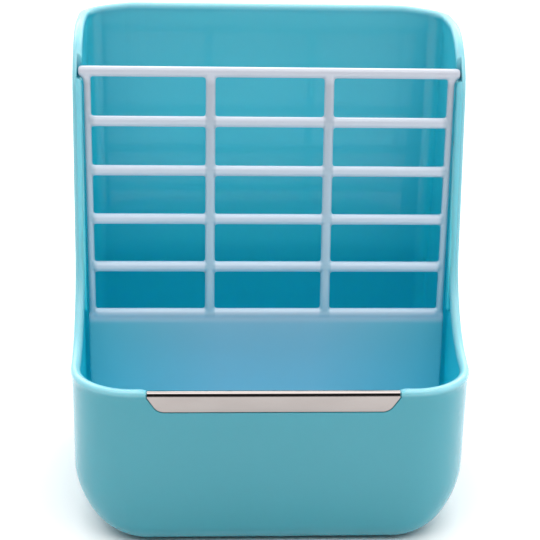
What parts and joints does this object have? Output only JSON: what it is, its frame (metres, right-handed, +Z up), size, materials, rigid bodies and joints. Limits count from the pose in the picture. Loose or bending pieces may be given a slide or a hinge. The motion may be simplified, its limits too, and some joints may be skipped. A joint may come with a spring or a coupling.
{
  "type": "hay feeder box",
  "caption": "Open moulded box with a tall back for hay, a lift-out grid that leans in front of it, a food trough with a steel edge strip, and bolts with wing nuts for a cage wall.",
  "frame": {"origin": "centre of the flat base, midway between the front of the lip and the back of the rim", "axes": "+X to the right seen from the front, +Y to the back (the cage wall side), +Z up"},
  "size_m": [0.1664, 0.155, 0.2022],
  "materials": {
    "box_plastic": "glossy moulded plastic",
    "grid_plastic": "satin white moulded plastic",
    "strip_steel": "mirror-polished stainless sheet",
    "fixing_steel": "zinc-plated"
  },
  "bodies": {
    "feeder": {"body": "box_plastic", "bite_guard": "strip_steel"},
    "insert": {"grid_insert": "grid_plastic"},
    "fixing_left": {"bolt_left": "fixing_steel", "washer_left": "fixing_steel"},
    "nut_left": {"wing_nut_left": "fixing_steel"},
    "fixing_right": {"bolt_right": "fixing_steel", "washer_right": "fixing_steel"},
    "nut_right": {"wing_nut_right": "fixing_steel"}
  },
  "joints": [
    {"name": "grid_lift", "type": "slide", "parent": "feeder", "child": "insert", "axis": [0, 0, 1], "range_m": [0, 0.075]},
    {"name": "bolt_slide_left", "type": "slide", "parent": "feeder", "child": "fixing_left", "axis": [0, 0, -1], "range_m": [0, 0.048]},
    {"name": "nut_turn_left", "type": "hinge", "parent": "fixing_left", "child": "nut_left", "pos_m": [-0.0585, 0.0766, 0.184], "axis": [0, 1, 0], "continuous": true},
    {"name": "bolt_slide_right", "type": "slide", "parent": "feeder", "child": "fixing_right", "axis": [0, 0, -1], "range_m": [0, 0.048]},
    {"name": "nut_turn_right", "type": "hinge", "parent": "fixing_right", "child": "nut_right", "pos_m": [0.0585, 0.0766, 0.184], "axis": [0, 1, 0], "continuous": true}
  ]
}
